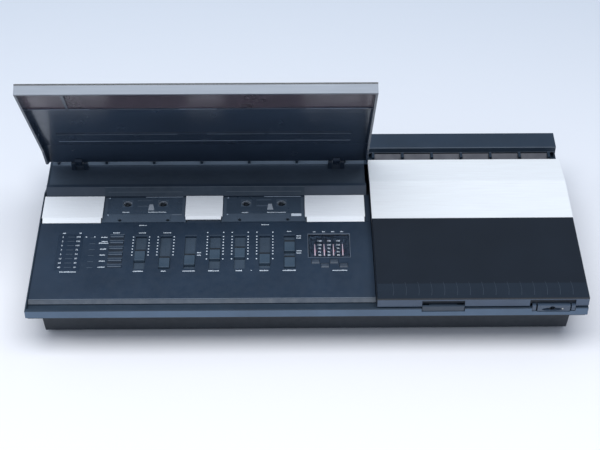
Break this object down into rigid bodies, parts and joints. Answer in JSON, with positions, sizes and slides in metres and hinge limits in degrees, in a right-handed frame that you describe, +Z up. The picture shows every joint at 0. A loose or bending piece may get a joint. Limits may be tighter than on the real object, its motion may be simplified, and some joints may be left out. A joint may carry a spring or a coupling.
{
  "type": "music centre",
  "caption": "Low table-top music centre: twin cassette deck with sliders under a hinged smoked-glass lid, receiver under black glass beside it.",
  "frame": {"origin": "centre of the footprint, on the surface that the feet rest on", "axes": "+X to the right seen from the front, +Y to the back, +Z up"},
  "size_m": [0.63, 0.29, 0.2844],
  "materials": {
    "case_black": "fine textured black moulding",
    "rail_grey": "satin anthracite paint",
    "panel_black": "fine spark-eroded matt black",
    "knob_grey": "satin dark grey",
    "aluminium_brushed": "brushed and anodised",
    "glass_black": "black backed glass",
    "glass_smoked": "smoked glass",
    "pane_clear": "clear smoked pane",
    "gloss_black": "gloss black moulding",
    "steel_plain": "zinc plated steel",
    "rubber_black": "matt rubber",
    "board_green": "printed circuit board",
    "cassette_black": "moulded cassette body",
    "reel_white": "hub plastic with brown tape",
    "pointer_red": "red pointer"
  },
  "bodies": {
    "chassis": {"base_tray": "case_black", "surround_frame": "rail_grey", "rear_cover": "case_black", "case_screws": "steel_plain", "feet": "rubber_black", "rear_sockets": "gloss_black", "control_panel": "panel_black", "meter_window": "pane_clear", "tuner_window": "pane_clear", "deck_surround": "panel_black", "trim_plate_left": "aluminium_brushed", "trim_plate_middle": "aluminium_brushed", "trim_plate_right": "aluminium_brushed", "deck_plate": "steel_plain", "drive_motor": "steel_plain", "cassette_shell_a": "cassette_black", "cassette_shell_b": "cassette_black", "receiver_frame": "case_black", "receiver_glass": "glass_black", "receiver_plate": "aluminium_brushed", "receiver_front_strip": "rail_grey", "front_socket_block": "rail_grey", "circuit_boards": "board_green", "transformer": "steel_plain"},
    "lid": {"lid_glass": "glass_smoked", "lid_plate": "aluminium_brushed", "lid_front_strip": "aluminium_brushed", "lid_frame": "gloss_black", "hinge_pins": "steel_plain"},
    "slider_1": {"slider_knob_1": "knob_grey"},
    "slider_2": {"slider_knob_2": "knob_grey"},
    "slider_3": {"slider_knob_3": "knob_grey"},
    "slider_4": {"slider_knob_4": "knob_grey"},
    "slider_5": {"slider_knob_5": "knob_grey"},
    "slider_6": {"slider_knob_6": "knob_grey"},
    "switch_1": {"slide_switch_1": "knob_grey"},
    "switch_2": {"slide_switch_2": "knob_grey"},
    "key_1": {"push_key_1": "knob_grey"},
    "key_2": {"push_key_2": "knob_grey"},
    "key_3": {"push_key_3": "knob_grey"},
    "key_4": {"push_key_4": "knob_grey"},
    "key_5": {"push_key_5": "knob_grey"},
    "key_6": {"push_key_6": "knob_grey"},
    "wheel_1": {"tuning_wheel_1": "knob_grey"},
    "pointer_1": {"tuning_pointer_1": "pointer_red"},
    "wheel_2": {"tuning_wheel_2": "knob_grey"},
    "pointer_2": {"tuning_pointer_2": "pointer_red"},
    "wheel_3": {"tuning_wheel_3": "knob_grey"},
    "pointer_3": {"tuning_pointer_3": "pointer_red"},
    "wheel_4": {"tuning_wheel_4": "knob_grey"},
    "pointer_4": {"tuning_pointer_4": "pointer_red"},
    "reel_a_left": {"reel_a_left": "reel_white"},
    "reel_a_right": {"reel_a_right": "reel_white"},
    "capstan_a": {"capstan_flywheel_a": "steel_plain"},
    "head_a": {"head_carriage_a": "steel_plain"},
    "reel_b_left": {"reel_b_left": "reel_white"},
    "reel_b_right": {"reel_b_right": "reel_white"},
    "capstan_b": {"capstan_flywheel_b": "steel_plain"},
    "head_b": {"head_carriage_b": "steel_plain"},
    "tab": {"release_tab": "rail_grey"}
  },
  "joints": [
    {"name": "lid_hinge", "type": "hinge", "parent": "chassis", "child": "lid", "pos_m": [0, 0.1025, 0.0691], "axis": [1, 0, 0], "range_deg": [0, 58.7]},
    {"name": "slider_1_slide", "type": "slide", "parent": "chassis", "child": "slider_1", "axis": [0, 1, 0], "range_m": [-0.0119, 0.0223]},
    {"name": "slider_2_slide", "type": "slide", "parent": "chassis", "child": "slider_2", "axis": [0, 1, 0], "range_m": [-0.0005, 0.0337]},
    {"name": "slider_3_slide", "type": "slide", "parent": "chassis", "child": "slider_3", "axis": [0, 1, 0], "range_m": [-0.0046, 0.0296]},
    {"name": "slider_4_slide", "type": "slide", "parent": "chassis", "child": "slider_4", "axis": [0, 1, 0], "range_m": [-0.0137, 0.0205]},
    {"name": "slider_5_slide", "type": "slide", "parent": "chassis", "child": "slider_5", "axis": [0, 1, 0], "range_m": [-0.0162, 0.018]},
    {"name": "slider_6_slide", "type": "slide", "parent": "chassis", "child": "slider_6", "axis": [0, 1, 0], "range_m": [-0.006, 0.0282]},
    {"name": "switch_1_slide", "type": "slide", "parent": "chassis", "child": "switch_1", "axis": [0, 1, 0], "range_m": [0, 0.0055]},
    {"name": "switch_2_slide", "type": "slide", "parent": "chassis", "child": "switch_2", "axis": [0, 1, 0], "range_m": [0, 0.0055]},
    {"name": "key_1_press", "type": "slide", "parent": "chassis", "child": "key_1", "axis": [0, 0, -1], "range_m": [0, 0.0015], "stiffness_N_per_m": 300},
    {"name": "key_2_press", "type": "slide", "parent": "chassis", "child": "key_2", "axis": [0, 0, -1], "range_m": [0, 0.0015], "stiffness_N_per_m": 300},
    {"name": "key_3_press", "type": "slide", "parent": "chassis", "child": "key_3", "axis": [0, 0, -1], "range_m": [0, 0.0015], "stiffness_N_per_m": 300},
    {"name": "key_4_press", "type": "slide", "parent": "chassis", "child": "key_4", "axis": [0, 0, -1], "range_m": [0, 0.0015], "stiffness_N_per_m": 300},
    {"name": "key_5_press", "type": "slide", "parent": "chassis", "child": "key_5", "axis": [0, 0, -1], "range_m": [0, 0.0015], "stiffness_N_per_m": 300},
    {"name": "key_6_press", "type": "slide", "parent": "chassis", "child": "key_6", "axis": [0, 0, -1], "range_m": [0, 0.0015], "stiffness_N_per_m": 300},
    {"name": "wheel_1_turn", "type": "hinge", "parent": "chassis", "child": "wheel_1", "pos_m": [0.0111, -0.0672, 0.0591], "axis": [1, 0, 0], "range_deg": [-150, 150]},
    {"name": "pointer_1_slide", "type": "slide", "parent": "chassis", "child": "pointer_1", "axis": [0, 1, 0], "range_m": [-0.0091, 0.0091]},
    {"name": "wheel_2_turn", "type": "hinge", "parent": "chassis", "child": "wheel_2", "pos_m": [0.02185, -0.0738, 0.0591], "axis": [1, 0, 0], "range_deg": [-150, 150]},
    {"name": "pointer_2_slide", "type": "slide", "parent": "chassis", "child": "pointer_2", "axis": [0, 1, 0], "range_m": [-0.0091, 0.0091]},
    {"name": "wheel_3_turn", "type": "hinge", "parent": "chassis", "child": "wheel_3", "pos_m": [0.0326, -0.0672, 0.0591], "axis": [1, 0, 0], "range_deg": [-150, 150]},
    {"name": "pointer_3_slide", "type": "slide", "parent": "chassis", "child": "pointer_3", "axis": [0, 1, 0], "range_m": [-0.0091, 0.0091]},
    {"name": "wheel_4_turn", "type": "hinge", "parent": "chassis", "child": "wheel_4", "pos_m": [0.04335, -0.0738, 0.0591], "axis": [1, 0, 0], "range_deg": [-150, 150]},
    {"name": "pointer_4_slide", "type": "slide", "parent": "chassis", "child": "pointer_4", "axis": [0, 1, 0], "range_m": [-0.0091, 0.0091]},
    {"name": "reel_a_left_spin", "type": "hinge", "parent": "chassis", "child": "reel_a_left", "pos_m": [-0.2134, 0.0363, 0.05], "axis": [0, 0, 1], "continuous": true},
    {"name": "reel_a_right_spin", "type": "hinge", "parent": "chassis", "child": "reel_a_right", "pos_m": [-0.1709, 0.0363, 0.05], "axis": [0, 0, 1], "continuous": true},
    {"name": "capstan_a_spin", "type": "hinge", "parent": "chassis", "child": "capstan_a", "pos_m": [-0.16365, 0.006, 0.04], "axis": [0, 0, 1], "continuous": true},
    {"name": "head_a_slide", "type": "slide", "parent": "chassis", "child": "head_a", "axis": [0, 1, 0], "range_m": [0, 0.0042], "stiffness_N_per_m": 250},
    {"name": "reel_b_left_spin", "type": "hinge", "parent": "chassis", "child": "reel_b_left", "pos_m": [-0.0706, 0.0363, 0.05], "axis": [0, 0, 1], "continuous": true},
    {"name": "reel_b_right_spin", "type": "hinge", "parent": "chassis", "child": "reel_b_right", "pos_m": [-0.0281, 0.0363, 0.05], "axis": [0, 0, 1], "continuous": true},
    {"name": "capstan_b_spin", "type": "hinge", "parent": "chassis", "child": "capstan_b", "pos_m": [-0.02085, 0.006, 0.04], "axis": [0, 0, 1], "continuous": true},
    {"name": "head_b_slide", "type": "slide", "parent": "chassis", "child": "head_b", "axis": [0, 1, 0], "range_m": [0, 0.0042], "stiffness_N_per_m": 250},
    {"name": "tab_press", "type": "slide", "parent": "chassis", "child": "tab", "axis": [0, 1, 0], "range_m": [0, 0.002], "stiffness_N_per_m": 400}
  ],
  "couplings": [
    {"joint": "pointer_1_slide", "follows": "wheel_1_turn", "m_per_rad": -0.0034377},
    {"joint": "pointer_2_slide", "follows": "wheel_2_turn", "m_per_rad": -0.0034377},
    {"joint": "pointer_3_slide", "follows": "wheel_3_turn", "m_per_rad": -0.0034377},
    {"joint": "pointer_4_slide", "follows": "wheel_4_turn", "m_per_rad": -0.0034377},
    {"joint": "capstan_b_spin", "follows": "capstan_a_spin", "ratio": 1}
  ]
}
